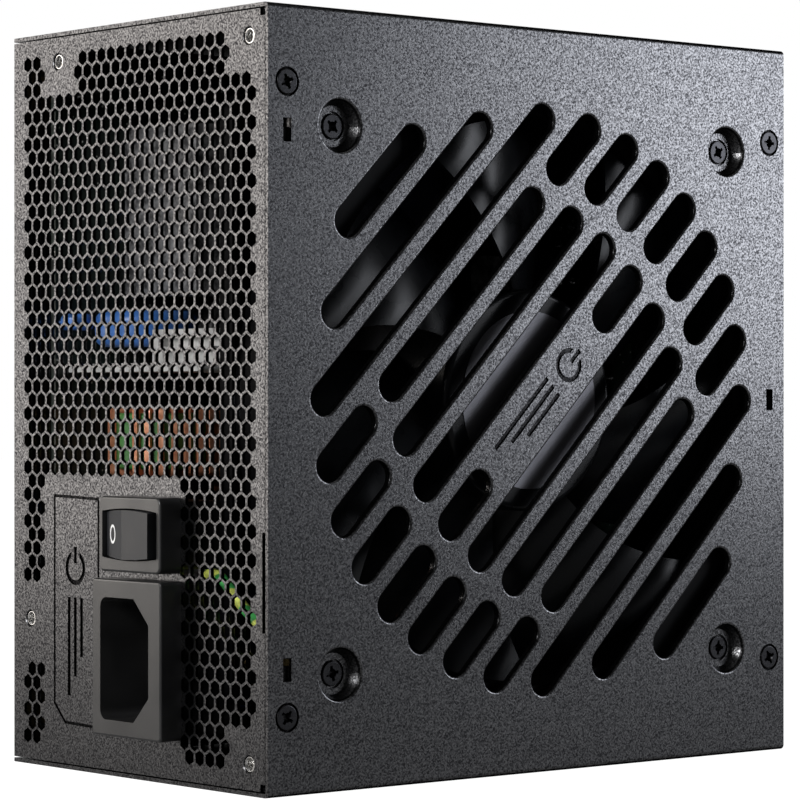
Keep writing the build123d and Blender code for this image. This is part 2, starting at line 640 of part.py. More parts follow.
def varistor():
    """A coated disc standing on its edge on two leads."""
    disc = fillet(Cylinder(10.6, 7.4).edges(), 2.2)
    legs = [rod_y(x, (18, BOARD), 0, 0.4) for x in (-3.8, 3.8)]
    return Pos(-52.5, 0, 89.6) * (Pos(0, 20.4, 0) * disc + legs[0] + legs[1])


def suppression_capacitors():
    """Two small blue discs along the rear edge of the board."""
    disc = fillet(Cylinder(3.4, 3.4).edges(), 1.2) + rod_y(-2, (2, 4.4), 0, 0.3) + rod_y(2, (2, 4.4), 0, 0.3)
    return [Pos(-64.1, BOARD - 4.4, z) * disc for z in (53.5, 91.0)]


def film_capacitor():
    body = on_board((-48, -30), (13, 39), 15)
    return fillet([e for e in body.edges() if e.center().Y < BOARD - 1], 0.8)


def fuse():
    y = BOARD - 4.5
    glass = rod_x((-60, -43), y, 47, 2.4)
    caps = [rod_x(x, y, 47, 2.7) for x in ((-62, -57), (-46, -41))]
    feet = [on_board(x, (45.6, 48.4), 2.2) for x in ((-61, -58), (-45, -42))]
    return glass + caps[0] + caps[1] + feet[0] + feet[1]


def barrier():
    """The insulating wall that carries the fan's connector."""
    wall = on_board((-63.2, -36), (80.7, 82.4), BOARD + 12.0)
    return fillet([e for e in wall.edges() if e.center().Y < -11], 0.6)


def fan_connector():
    x0, y0, z0 = -59.6, -12.0, 82.4
    shape = block((x0, x0 + 9.5), (y0, y0 + 20.5), (z0, z0 + 6.8))
    for z in (z0 + 0.9, z0 + 3.3):
        shape -= block((x0 - 1, x0 + 1.6), (y0 - 1, y0 + 17), (z, z + 1.7))
    return shape - block((x0 + 2.4, x0 + 8.2), (y0 + 1.2, y0 + 19.3), (z0 + 1.8, z0 + 8))


def bridge_heatsink():
    shape = on_board((-49, -46.2), (96.5, 131.5), 25)
    for i in range(4):
        y = BOARD - 25 + 4.4 * i
        shape += block((-46.2, -38), (y, y + 1.2), (96.5, 131.5))
    return shape


def bridge_rectifier():
    body = on_board((-46.2, -42), (102, 124), 7.2, 0.6)
    legs = [block((-44.5, -43.5), (BOARD - 0.6, BOARD), (z - 0.6, z + 0.6)) for z in (105, 110.5, 116, 121)]
    for leg in legs:
        body += leg
    return body


def relay():
    body = on_board((-31, -18), (86, 95.5), 15)
    return fillet([e for e in body.edges() if e.center().Y < BOARD - 1], 0.6)


def primary_heatsink():
    shape = on_board((-24, 24), (97.6, 100.4), 41)
    for i in range(4):
        y = BOARD - 41 + 5 * i
        shape += block((-24, 24), (y, y + 1.4), (97.6, 105.6))
    return shape


def transistors():
    bodies = []
    for x in (-16, -2, 12):
        tab = on_board((x, x + 10), (100.4, 101.7), 15, 3)
        case = on_board((x, x + 10), (101.7, 104.8), 9.5, 3)
        legs = [block((x + dx, x + dx + 0.9), (BOARD - 3, BOARD), (102.2, 102.9)) for dx in (1.8, 4.5, 7.2)]
        body = tab + case
        for leg in legs:
            body += leg
        bodies.append(body)
    return bodies


def transformer():
    """The two halves of the ferrite core as one piece, and the taped winding inside it."""
    core = on_board((9, 47), (61, 93), 31, 3) - on_board((14, 42), (60, 94), 22, 7.5)
    core += on_board((22, 34), (69, 85), 22, 7.5)
    coil = on_board((14.3, 41.7), (58, 96), 21.4, 7.8) - on_board((21.7, 34.3), (68.7, 85.3), 24, 6.5)
    coil = fillet(upright_edges(coil, Axis.Y).filter_by_position(Axis.Z, 50, 60), 2.5)
    feet = [on_board((x, x + 5), (z, z + 2.6), 7.8) for x in (15, 36) for z in (58.1, 93.3)]
    for foot in feet:
        coil += foot
    return core, coil


def resonant_choke():
    body = on_board((15, 39), (108, 130), 22)
    body = fillet([e for e in body.edges() if e.center().Y < BOARD - 1], 1.2)
    return body - on_board((14, 20), (112, 126), 16, 3) - on_board((34, 40), (112, 126), 16, 3)


def standby_transformer():
    core = on_board((-20, 0), (14, 31), 4, 0) + on_board((-20, 0), (14, 31), 4, 13)
    core += on_board((-20, -16), (14, 31), 17) + on_board((-4, 0), (14, 31), 17)
    coil = on_board((-16, -4), (12, 33), 9, 4)
    return core + coil


def secondary_heatsink():
    shape = on_board((12, 46), (51, 52.6), 30)
    for i in range(8):
        x = 12 + 4.6 * i
        shape += on_board((x, x + 1.2), (44, 52), 30)
    return shape


def output_capacitors():
    places = [(50, z) for z in (104, 114.5, 125)] + [(x, 137.5) for x in (5, 16, 27, 38)]
    return [can(x, z, 4.9, 22) for x, z in places]


def converter_board():
    """An upright board with the low-voltage converters' coils on it."""
    shape = on_board((36, 37.6), (9, 40), 36)
    for z in (11, 21, 31):
        shape += on_board((37.6, 44), (z, z + 7), 7, 20)
        shape += on_board((37.6, 40), (z, z + 7), 5, 6)
    return shape


def control_board():
    shape = on_board((4, 30), (37, 38.6), 30)
    for i, x in enumerate((7, 14, 22)):
        shape += on_board((x, x + 4.5), (38.6, 40.2), 5 + 2 * i, 6)
    return shape


def bus_bars():
    return [on_board((52, OUTPUT_BOARD_X), (z, z + 6), 1.4) for z in (56, 68, 80, 92)]


def bulk_capacitor():
    return can(-8, 122, 14.6, 44)


# ---------------------------------------------------------------- output side
def output_board():
    return block((OUTPUT_BOARD_X, OUTPUT_BOARD_X + 1.6), (-6, 41), (6, 144))


def contact_places(y, z, n):
    return [(y + side * PIN_PITCH / 2, z + (i - (n - 1) / 2) * PIN_PITCH) for side in (-1, 1) for i in range(n)]


def output_socket(y, z, n):
    """One socket: a shell with a square pocket for each contact and a latch rib."""
    half = (PIN_PITCH * n + 1.4) / 2
    x = (OUTPUT_BOARD_X + 1.6, FRONT + 0.2)
    shape = block(x, (y - SOCKET_W / 2, y + SOCKET_W / 2), (z - half, z + half))
    for cy, cz in contact_places(y, z, n):
        shape -= block((FRONT - 6.5, FRONT + 1), (cy - 1.75, cy + 1.75), (cz - 1.75, cz + 1.75))
    return shape


def output_sockets(contacts):
    return [output_socket(y, z, n) for y, z, n in socket_places() if n in contacts]


def output_contacts():
    pins = [p for y, z, n in socket_places() for p in contact_places(y, z, n)]
    return [block((FRONT - 6.5, FRONT - 0.8), (y - 0.5, y + 0.5), (z - 0.5, z + 0.5)) for y, z in pins]


# ---------------------------------------------------------------- wires and earthing
EARTH_X, EARTH_Z = -64.6, 24.5


def earth_stud():
    return rod_y(EARTH_X, (FLANGE_Y + SHEET, FLANGE_Y + 5.4), EARTH_Z, 1.5)


def earth_nut():
    y = FLANGE_Y + SHEET + 1.0
    plane = Plane(origin=(EARTH_X, y, EARTH_Z), x_dir=(1, 0, 0), z_dir=(0, 1, 0))
    return extrude(plane * RegularPolygon(3.2, 6), amount=2.4) - rod_y(EARTH_X, (y - 1, y + 4), EARTH_Z, 1.5)


def earth_ring():
    y = (FLANGE_Y + SHEET, FLANGE_Y + SHEET + 1.0)
    eye = rod_y(EARTH_X, y, EARTH_Z, 3.4) + block((EARTH_X - 1.4, EARTH_X + 1.4), y, (EARTH_Z, EARTH_Z + 6.5))
    return eye - rod_y(EARTH_X, (y[0] - 1, y[1] + 1), EARTH_Z, 1.5)


def earth_wire():
    """From the back of the inlet over its body to the ring terminal beside the fan."""
    middle_y = sum(SOCKET_Y) / 2 - PIN_OFFSET / 2
    z = sum(SOCKET_Z) / 2
    gap_z = (INLET_Z[1] + 0.2 + SWITCH_Z - SWITCH_SIZE[1] / 2) / 2 - 0.1
    points = [(-49, middle_y, z), (-44.5, middle_y, z + 1), (-43.5, middle_y - 0.2, z + 10), (-48, -6.2, gap_z),
              (-56.5, -8.6, gap_z), (-63.6, -14.6, gap_z + 0.4), (-64.6, -21, 41.0), (-64.6, -27, 36.0),
              (-64.6, -33.4, 31.9), (-64.6, -39.6, 29.6)]
    return tube(points, 1.1, "earth_wire")


def live_wire():
    middle_y = sum(SOCKET_Y) / 2 + PIN_OFFSET / 2
    z = sum(SOCKET_Z) / 2 + PIN_SPACING / 2
    points = [(-49, middle_y, z), (-44, middle_y, z + 1), (-41, middle_y + 1.2, z + 6), (-41.5, 0.4, z + 11),
              (-45, 0, SWITCH_Z - 3.2), (-51, 0, SWITCH_Z - 3.2)]
    return tube(points, 0.9, "live_wire")


def neutral_wire():
    middle_y = sum(SOCKET_Y) / 2 + PIN_OFFSET / 2
    z = sum(SOCKET_Z) / 2 - PIN_SPACING / 2
    points = [(-49, middle_y, z), (-43, middle_y, z + 0.5), (-38.5, middle_y + 2.5, z - 2), (-37, 6, z - 4),
              (-36, 14, z - 6), (-35.5, 23, z - 7.5), (-35.5, BOARD, z - 7.5)]
    return tube(points, 0.9, "neutral_wire")


def fan_lead():
    y = FAN_BACK + 1.1
    points = [(-19, y, FAN_Z), (-34, y, FAN_Z + 0.6), (-47, y, FAN_Z + 6), (-54, y + 0.2, FAN_Z + 15.5),
              (-55.2, y + 3.5, FAN_Z + 20.5), (-55, y + 8, FAN_Z + 18.5), (-55, y + 8.2, FAN_Z + 9.6)]
    return tube(points, 0.9, "fan_lead")


def main():
    save("cover", cover())
    save("cover_screws", cover_screws())
    save("fan_screws", fan_screws())
    save("chassis", chassis())
    save("rear_panel", rear_panel())
    save("inlet_housing", inlet_housing())
    save("inlet_pins", inlet_pins(5.0))
    save("switch_housing", switch_housing())
    save("switch_rocker", rocker())
    save("switch_terminals", switch_terminals())
    save("fan_frame", fan_frame())
    save("fan_rotor", fan_rotor())
    save("fan_label", fan_rod((FAN_Y + 0.65, FAN_Y + 0.8), 18.0))
    save("rotor_magnet", ring_y((FAN_Y + 5, FAN_Y + 18.6), HUB_R - 1.4, HUB_R - 3.4))
    save("fan_shaft", fan_rod((FAN_Y + 2.3, FAN_BACK - 1.6), SHAFT_R))
    save("fan_bearing", ring_y((FAN_Y + 8.2, FAN_BACK - 2), 4.0, SHAFT_R + RUNNING))
    save("fan_stator", stator())
    save("stator_coils", stator_coils())
    save("fan_circuit_board", ring_y((FAN_BACK - 5.4, FAN_BACK - 4.2), 18, 5.05))
    save("main_board", main_board())
    save("board_posts", board_posts())
    save("board_screws", board_screws())
    save("insulation_sheet", insulation_sheet())
    for name, (core, turns) in (("line_choke", line_choke()), ("pfc_choke", pfc_choke())):
        save(name + "_core", core)
        save(name + "_winding", turns)
    save("varistor", varistor())
    save("suppression_capacitors", suppression_capacitors())
    save("film_capacitor", film_capacitor())
    save("fuse", fuse())
    save("barrier", barrier())
    save("fan_connector", fan_connector())
    save("bridge_heatsink", bridge_heatsink())
    save("bridge_rectifier", bridge_rectifier())
    save("relay", relay())
    save("primary_heatsink", primary_heatsink())
    save("transistors", transistors())
    core, coil = transformer()
    save("transformer_core", core)
    save("transformer_winding", coil)
    save("resonant_choke", resonant_choke())
    save("standby_transformer", standby_transformer())
    save("secondary_heatsink", secondary_heatsink())
    save("bulk_capacitor", bulk_capacitor())
    save("output_capacitors", output_capacitors())
    save("converter_board", converter_board())
    save("control_board", control_board())
    save("bus_bars", bus_bars())
    save("output_board", output_board())
    save("motherboard_sockets", output_sockets((9, 5)))
    save("power_sockets", output_sockets((4,)))
    save("drive_sockets", output_sockets((3,)))
    save("output_contacts", output_contacts())
    save("earth_stud", earth_stud())
    save("earth_nut", earth_nut())
    save("earth_ring", earth_ring())
    save("earth_wire", earth_wire())
    save("live_wire", live_wire())
    save("neutral_wire", neutral_wire())
    save("fan_lead", fan_lead())


main()
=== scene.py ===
"""Looks of an ATX power supply unit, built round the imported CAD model. Metres, +Z up."""
import json
import math
import bmesh
import bpy
from mathutils import Matrix, Vector


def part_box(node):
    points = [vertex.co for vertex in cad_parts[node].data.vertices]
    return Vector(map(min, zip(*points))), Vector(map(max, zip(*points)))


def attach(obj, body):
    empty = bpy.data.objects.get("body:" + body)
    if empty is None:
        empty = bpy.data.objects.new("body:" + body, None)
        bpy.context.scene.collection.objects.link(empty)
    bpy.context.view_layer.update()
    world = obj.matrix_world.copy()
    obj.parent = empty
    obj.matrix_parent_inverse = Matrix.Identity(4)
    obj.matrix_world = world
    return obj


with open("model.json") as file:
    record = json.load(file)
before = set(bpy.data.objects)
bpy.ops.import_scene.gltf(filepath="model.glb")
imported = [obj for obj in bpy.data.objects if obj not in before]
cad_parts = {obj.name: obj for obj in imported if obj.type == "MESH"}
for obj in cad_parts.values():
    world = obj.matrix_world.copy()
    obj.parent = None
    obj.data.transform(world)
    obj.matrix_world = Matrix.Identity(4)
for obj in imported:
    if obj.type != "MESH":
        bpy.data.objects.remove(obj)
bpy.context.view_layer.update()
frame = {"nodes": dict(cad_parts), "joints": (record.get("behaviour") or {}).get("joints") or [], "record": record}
NODES = frame["nodes"]
MM = 0.001
CASE_LOW, CASE_HIGH = (Vector(corner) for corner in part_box("cover"))
MIDDLE = (CASE_LOW + CASE_HIGH) / 2


# ---------------------------------------------------------------- node helpers
class Shader:
    """A material's node tree with short calls for the nodes used here."""

    def __init__(self, name):
        self.material = bpy.data.materials.new(name)
        self.material.use_nodes = True
        self.tree = self.material.node_tree
        self.bsdf = self.tree.nodes["Principled BSDF"]
        self.place = self.tree.nodes.new("ShaderNodeTexCoord").outputs["Object"]

    def set(self, **values):
        """Constants on the surface shader's own sockets."""
        for name, value in values.items():
            self.bsdf.inputs[name.replace("_", " ")].default_value = value

    def link(self, output, socket):
        self.tree.links.new(output, self.bsdf.inputs[socket])

    def add(self, kind, links=None, **values):
        """A node of that kind; values set its properties or its unlinked inputs."""
        node = self.tree.nodes.new("ShaderNode" + kind)
        for name, value in values.items():
            if hasattr(node, name):
                setattr(node, name, value)
            else:
                node.inputs[name.replace("_", " ")].default_value = value
        for name, output in (links or {}).items():
            self.tree.links.new(output, node.inputs[name])
        return node

    def noise(self, size_mm, detail=2.0, roughness=0.5, stretch=None):
        """Noise whose features are about that many millimetres across."""
        place = self.place
        if stretch:
            place = self.add("Mapping", {"Vector": place}, Scale=stretch).outputs[0]
        scale = 1 / (size_mm * MM)
        node = self.add("TexNoise", {"Vector": place}, Scale=scale, Detail=detail, Roughness=roughness)
        return node.outputs["Fac"]

    def combine(self, operation, first, second):
        """Two values put together; the second is a number or another output."""
        node = self.add("Math", {0: first}, operation=operation)
        if isinstance(second, (int, float)):
            node.inputs[1].default_value = second
        else:
            self.tree.links.new(second, node.inputs[1])
        return node.outputs[0]

    def cells(self, size_mm):
        """Distance from the middle of cells that are about that many millimetres across."""
        node = self.add("TexVoronoi", {"Vector": self.place}, Scale=1 / (size_mm * MM))
        return node.outputs["Distance"]

    def ramp(self, fac, stops):
        """A colour ramp; each stop is (position, grey or colour)."""
        node = self.add("ValToRGB", {"Fac": fac})
        ramp = node.color_ramp
        while len(ramp.elements) < len(stops):
            ramp.elements.new(0.5)
        for element, (position, colour) in zip(ramp.elements, stops):
            element.position = position
            if not isinstance(colour, (tuple, list)):
                colour = (colour, colour, colour)
            element.color = (*colour[:3], 1)
        return node.outputs["Color"]

    def bump(self, height, depth_mm, strength=1.0, normal=None):
        """A normal bent by that height, on top of another normal if there is one."""
        links = {"Height": height}
        if normal is not None:
            links["Normal"] = normal
        node = self.add("Bump", links, Strength=strength, Distance=depth_mm * MM)
        return node.outputs["Normal"]


def assign(material, *names):
    """Gives those CAD nodes that one material."""
    for name in names:
        node = NODES[name]
        node.data.materials.clear()
        node.data.materials.append(material)


# ---------------------------------------------------------------- materials
def powder_coat():
    """Dark textured powder coating: grains on a faint orange peel, dull in the pits, with painted shade on the
    groove floors and inside the vents.
    """
    s = Shader("powder_coat")
    axes = s.add("SeparateXYZ", {"Vector": s.place}).outputs
    off_axis = (0.61, 0.37, 0.23)  # keeps the flat faces from lying along the noise's own lattice
    s.place = s.add("Mapping", {"Vector": s.place}, Rotation=off_axis).outputs[0]
    grain = s.noise(0.40, 1.5, 0.6)
    peel = s.noise(1.3, 1.0)
    # painted shade: everything 0.18 to 0.55 mm below the rear and fan faces is darkened to groove_shade, which
    # covers the groove floors, a band on the vent and slot walls, and a strip along the case's edges
    under_rear = s.combine("SUBTRACT", axes[0], CASE_LOW.x)
    under_fan = s.combine("SUBTRACT", axes[1], CASE_LOW.y)
    depth_mm = s.combine("DIVIDE", s.combine("MINIMUM", under_rear, under_fan), MM)
    groove_shade = 0.15
    painted_groove_shade = s.ramp(depth_mm, [(0.10, 1.0), (0.18, groove_shade), (0.55, groove_shade), (0.70, 1.0)])
    coat = s.ramp(grain, [(0.36, (0.028, 0.028, 0.030)), (0.64, (0.158, 0.158, 0.162))])
    shade = s.add("VectorMath", {0: coat, 1: painted_groove_shade}, operation="MULTIPLY")
    s.link(shade.outputs[0], "Base Color")
    s.link(s.ramp(grain, [(0.3, 0.34), (0.7, 0.25)]), "Roughness")
    s.link(s.bump(grain, 0.010, 1.0, s.bump(peel, 0.02, 0.3)), "Normal")
    s.set(Metallic=1.0, Specular_Tint=(0.35, 0.35, 0.35, 1))
    return s.material


def moulded(name, colour, rough, grain_mm=0.25, depth=0.012, shine=0.5):
    """Moulded plastic with a fine spark-eroded grain and slow gloss changes."""
    s = Shader(name)
    grain = s.noise(grain_mm, 2.0)
    slow = s.noise(9.0, 2.0)
    dark = tuple(c * 0.82 for c in colour)
    light = tuple(min(1.0, c * 1.18) for c in colour)
    s.link(s.ramp(slow, [(0.35, dark), (0.65, light)]), "Base Color")
    s.link(s.ramp(slow, [(0.3, rough - 0.05), (0.7, rough + 0.06)]), "Roughness")
    s.link(s.bump(grain, depth, 0.8), "Normal")
    s.set(Specular_IOR_Level=shine)
    return s.material


def metal(name, colour, rough, brush=None, scratch_mm=0.12):
    """Plated, blackened or brushed metal; brush stretches the scratches along one axis."""
    s = Shader(name)
    scratches = s.noise(scratch_mm, 3.0, 0.6, brush)
    slow = s.noise(4.0, 2.0)
    dark = tuple(c * 0.75 for c in colour)
    s.link(s.ramp(slow, [(0.3, dark), (0.7, colour)]), "Base Color")
    s.link(s.ramp(scratches, [(0.3, rough - 0.08), (0.7, rough + 0.1)]), "Roughness")
    s.link(s.bump(scratches, 0.006, 0.7), "Normal")
    s.set(Metallic=1.0)
    return s.material


def cast_aluminium():
    """Matt extruded aluminium: mottled greys with fine draw lines down the fins."""
    s = Shader("aluminium")
    mottle = s.noise(3.0, 4.0, 0.75)
    lines = s.noise(0.2, 2.0, 0.6, (1, 1, 0.08))
    dull, bare = (0.035, 0.035, 0.037), (0.26, 0.26, 0.265)
    s.link(s.ramp(mottle, [(0.40, dull), (0.62, bare)]), "Base Color")
    s.link(s.ramp(lines, [(0.3, 0.50), (0.7, 0.66)]), "Roughness")
    s.link(s.bump(lines, 0.012, 0.7), "Normal")
    s.set(Metallic=0.35)
    return s.material


def enamelled_wire():
    """Copper wire under orange enamel, a little different from turn to turn."""
    s = Shader("enamelled_wire")
    tone = s.noise(1.3, 2.0)
    s.link(s.ramp(tone, [(0.3, (0.62, 0.22, 0.11)), (0.7, (0.95, 0.46, 0.27))]), "Base Color")
    s.link(s.ramp(tone, [(0.3, 0.30), (0.7, 0.45)]), "Roughness")
    s.link(s.bump(s.noise(0.3), 0.01, 0.5), "Normal")
    s.set(Metallic=0.35, Coat_Weight=0.5, Coat_Roughness=0.2)
    return s.material


def circuit_board():
    """Solder mask over copper areas, with plated dots."""
    s = Shader("circuit_board")
    areas = s.cells(7.0)
    dots = s.cells(2.1)
    mask = s.ramp(areas, [(0.30, (0.005, 0.009, 0.007)), (0.36, (0.009, 0.018, 0.013))])
    tin = s.ramp(dots, [(0.10, 1.0), (0.13, 0.0)])
    colour_a, colour_b, result = 6, 7, 2
    mix = s.add("Mix", {"Factor": tin, colour_a: mask}, data_type="RGBA")
    mix.inputs[colour_b].default_value = (0.55, 0.56, 0.52, 1)
    s.link(mix.outputs[result], "Base Color")
    s.link(s.ramp(areas, [(0.2, 0.30), (0.6, 0.42)]), "Roughness")
    s.link(s.bump(areas, 0.03, 0.4), "Normal")
    return s.material


def foil_label():
    """Dark silvery label with a satin sheen."""
    s = Shader("foil_label")
    fine = s.noise(0.2, 2.0)
    dark, light = (0.10, 0.10, 0.108), (0.16, 0.16, 0.175)
    s.link(s.ramp(s.noise(14.0), [(0.3, dark), (0.7, light)]), "Base Color")
    s.link(s.ramp(fine, [(0.3, 0.38), (0.7, 0.50)]), "Roughness")
    s.link(s.bump(fine, 0.004, 0.5), "Normal")
    s.set(Metallic=0.85)
    return s.material


def wire_jacket(name, colour, second=None):
    """A soft wire jacket, striped with a second colour if there is one."""
    s = Shader(name)
    if second:
        wave = s.add("TexWave", {"Vector": s.place}, wave_type="BANDS", bands_direction="DIAGONAL",
                     Scale=1 / (22 * MM), Distortion=0.4)
        s.link(s.ramp(wave.outputs["Fac"], [(0.45, colour), (0.55, second)]), "Base Color")
    else:
        dark = tuple(c * 0.8 for c in colour)
        s.link(s.ramp(s.noise(3.0), [(0.3, dark), (0.7, colour)]), "Base Color")
    s.link(s.ramp(s.noise(2.0), [(0.3, 0.34), (0.7, 0.46)]), "Roughness")
    s.link(s.bump(s.noise(0.4), 0.01, 0.5), "Normal")
    return s.material


def ceramic(name, colour, rough=0.7):
    """Ferrite or coated core: matt, pitted, with worn lighter spots."""
    s = Shader(name)
    pits = s.cells(0.8)
    dark = tuple(c * 0.7 for c in colour)
    s.link(s.ramp(s.noise(2.5, 4.0), [(0.3, dark), (0.7, colour)]), "Base Color")
    s.link(s.ramp(pits, [(0.1, rough + 0.1), (0.6, rough - 0.1)]), "Roughness")
    s.link(s.bump(pits, 0.03, 0.5), "Normal")
    return s.material


def paint_everything():
    """Each CAD node gets its finish."""
    assign(powder_coat(), "cover", "chassis", "rear_panel")
    assign(metal("black_screws", (0.04, 0.04, 0.043), 0.30), "cover_screws", "fan_screws")
    assign(moulded("inlet_plastic", (0.012, 0.012, 0.0125), 0.34, 0.35, 0.014, 0.6),
           "inlet_housing", "switch_housing")
    assign(moulded("rocker_plastic", (0.022, 0.023, 0.026), 0.42, 0.4, 0.006, 0.3),
           "switch_rocker")
    assign(metal("nickel", (0.72, 0.71, 0.68), 0.25), "inlet_pins", "switch_terminals",
           "board_screws", "output_contacts", "earth_nut", "earth_ring", "fan_shaft")
    assign(moulded("fan_plastic", (0.004, 0.0045, 0.0055), 0.27, 0.5, 0.004, 0.14), "fan_rotor")
    assign(moulded("frame_plastic", (0.003, 0.003, 0.0035), 0.45, 0.4, 0.010, 0.04), "fan_frame")
    assign(foil_label(), "fan_label")
    assign(ceramic("magnet", (0.06, 0.055, 0.055)), "rotor_magnet")
    assign(metal("brass", (0.70, 0.52, 0.24), 0.3), "fan_bearing", "board_posts", "earth_stud")
    assign(metal("laminations", (0.32, 0.32, 0.34), 0.45, (1, 12, 1)), "fan_stator")
    assign(enamelled_wire(), "stator_coils", "line_choke_winding", "pfc_choke_winding", "bus_bars")
    assign(circuit_board(), "main_board", "fan_circuit_board", "converter_board", "control_board",
           "output_board")
    assign(moulded("insulation", (0.03, 0.03, 0.03), 0.5), "insulation_sheet")
    assign(ceramic("green_core", (0.07, 0.26, 0.06), 0.45), "line_choke_core")
    assign(ceramic("ferrite", (0.06, 0.06, 0.065)),
           "pfc_choke_core", "transformer_core", "resonant_choke")
    assign(moulded("blue_coating", (0.06, 0.18, 0.52), 0.26, 0.6),
           "varistor", "suppression_capacitors")
    assign(moulded("white_plastic", (0.50, 0.50, 0.49), 0.40),
           "barrier", "fan_connector", "fuse", "film_capacitor")
    assign(cast_aluminium(), "bridge_heatsink", "primary_heatsink", "secondary_heatsink")
    assign(moulded("component_black", (0.03, 0.03, 0.03), 0.5),
           "bridge_rectifier", "relay", "transistors")
    assign(moulded("yellow_tape", (0.62, 0.46, 0.07), 0.35),
           "transformer_winding", "standby_transformer")
    assign(moulded("sleeve", (0.02, 0.02, 0.03), 0.25), "bulk_capacitor", "output_capacitors")
    assign(moulded("socket_plastic", (0.028, 0.028, 0.03), 0.38),
           "motherboard_sockets", "power_sockets", "drive_sockets")
    assign(wire_jacket("earth_jacket", (0.72, 0.80, 0.16), (0.05, 0.34, 0.08)), "earth_wire")
    assign(wire_jacket("brown_jacket", (0.16, 0.06, 0.03)), "live_wire")
    assign(wire_jacket("blue_jacket", (0.04, 0.10, 0.36)), "neutral_wire")
    assign(wire_jacket("black_jacket", (0.02, 0.02, 0.02)), "fan_lead")


# ---------------------------------------------------------------- added pieces
def new_piece(name, bm, material, body):
    """A mesh piece from a bmesh in the row frame, smooth where its faces meet gently."""
    bmesh.ops.recalc_face_normals(bm, faces=bm.faces[:])
    mesh = bpy.data.meshes.new(name)
    bm.to_mesh(mesh)
    bm.free()
    mesh.materials.append(material)
    mesh.polygons.foreach_set("use_smooth", [True] * len(mesh.polygons))
    piece = bpy.data.objects.new(name, mesh)
    bpy.context.collection.objects.link(piece)
    mesh.set_sharp_from_angle(angle=math.radians(35))
    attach(piece, body)
    return piece


def revolve(bm, place, profile, sides=32, closed=False):
    """Sweeps (radius, height) points round the local Z of a placing matrix, and caps an open profile."""
    angles = [2 * math.pi * i / sides for i in range(sides)]
    rings = []
    for radius, height in profile:
        points = [Vector((radius * math.cos(a), radius * math.sin(a), height)) for a in angles]
        rings.append([bm.verts.new(place @ point) for point in points])
    pairs = list(zip(rings, rings[1:]))
    if closed:
        pairs.append((rings[-1], rings[0]))
    else:
        bm.faces.new(rings[0])
        bm.faces.new(rings[-1])
    for low, high in pairs:
        for i in range(sides):
            j = (i + 1) % sides
            bm.faces.new((low[i], low[j], high[j], high[i]))


def add_threads(material):
    """The bare thread in each mounting hole of the rear panel: a helical ridge on a thin sleeve."""
    pitch = 0.79 * MM
    depth = 3.0 * MM
    start = CASE_LOW.x + 0.3 * MM
    outer, root, crest = 1.44 * MM, 1.41 * MM, 1.16 * MM
    round_steps = 28
    steps_per_pitch = 8
    steps = int(depth / pitch * steps_per_pitch)
    angles = [2 * math.pi * i / round_steps for i in range(round_steps)]
    for mount in frame["record"]["mounts"]:
        if mount["kind"] != "threaded_hole":
            continue
        _, y, z = mount["pos_m"]
        bm = bmesh.new()
        loops = []
        for k in range(steps + 1):
            loop = []
            for i, a in enumerate(angles):
                phase = (k / steps_per_pitch + i / round_steps) % 1.0
                r = crest + (root - crest) * abs(2 * phase - 1)
                x = start + depth * k / steps
                loop.append(bm.verts.new((x, y + r * math.cos(a), z + r * math.sin(a))))
            loops.append(loop)
        for x in (start + depth, start):
            points = [(x, y + outer * math.cos(a), z + outer * math.sin(a)) for a in angles]
            loops.append([bm.verts.new(point) for point in points])
        for near, far in zip(loops, loops[1:] + loops[:1]):
            for i in range(round_steps):
                j = (i + 1) % round_steps
                bm.faces.new((near[i], near[j], far[j], far[i]))
        new_piece("thread_" + mount["name"], bm, material, "case")


def add_rocker_mark(material):
    """The white ring printed on the pressed-in half of the rocker."""
    pivot = next(Vector(j["pos_m"]) for j in frame["joints"] if j["name"] == "power_rocker")
    tilt = math.radians(16.04)  # of that half, as it stands in the rest pose
    ridge = pivot + Vector((-4.357, 0.612, 0)) * MM
    from_ridge = 5.1 * MM
    half_width, half_height, inner_scale = 1.55, 1.9, 0.73
    low, high = -0.03 * MM, 0.03 * MM
    along = Vector((math.sin(tilt), math.cos(tilt), 0))
    out = Vector((-math.cos(tilt), math.sin(tilt), 0))
    place = Matrix((along, (0, 0, 1), out)).transposed().to_4x4()
    place.translation = ridge + along * from_ridge
    place = place @ Matrix.Diagonal((half_width, half_height, 1, 1))
    profile = [(MM, low), (MM, high), (MM * inner_scale, high), (MM * inner_scale, low)]
    bm = bmesh.new()
    revolve(bm, place, profile, 48, closed=True)
    new_piece("rocker_ring_mark", bm, material, "rocker")


def solid_centres(node):
    """The middle of each separate solid of a CAD node."""
    bm = bmesh.new()
    bm.from_mesh(NODES[node].data)
    bmesh.ops.remove_doubles(bm, verts=bm.verts[:], dist=1e-6)
    left = set(bm.verts)
    centres = []
    while left:
        group, queue = [], [left.pop()]
        while queue:
            vert = queue.pop()
            group.append(vert.co)
            for edge in vert.link_edges:
                other = edge.other_vert(vert)
                if other in left:
                    left.discard(other)
                    queue.append(other)
        low = Vector(map(min, *group))
        high = Vector(map(max, *group))
        centres.append((low + high) / 2)
    bm.free()
    return sorted(centres, key=lambda c: tuple(c))


def add_solder_joints(material):
    """A small bright cone behind each output contact, on the inner side of the output board."""
    board_low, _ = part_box("output_board")
    bm = bmesh.new()
    inward = Matrix(((0, 0, -1), (0, 1, 0), (1, 0, 0))).to_4x4()
    profile_mm = [(1.1, -0.02), (0.95, 0.25), (0.6, 0.7), (0.4, 1.3), (0.3, 1.5)]
    profile = [(radius * MM, height * MM) for radius, height in profile_mm]
    for centre in solid_centres("output_contacts"):
        place = inward.copy()
        place.translation = (board_low.x, centre.y, centre.z)
        revolve(bm, place, profile, 10)
    new_piece("solder_joints", bm, material, "case")


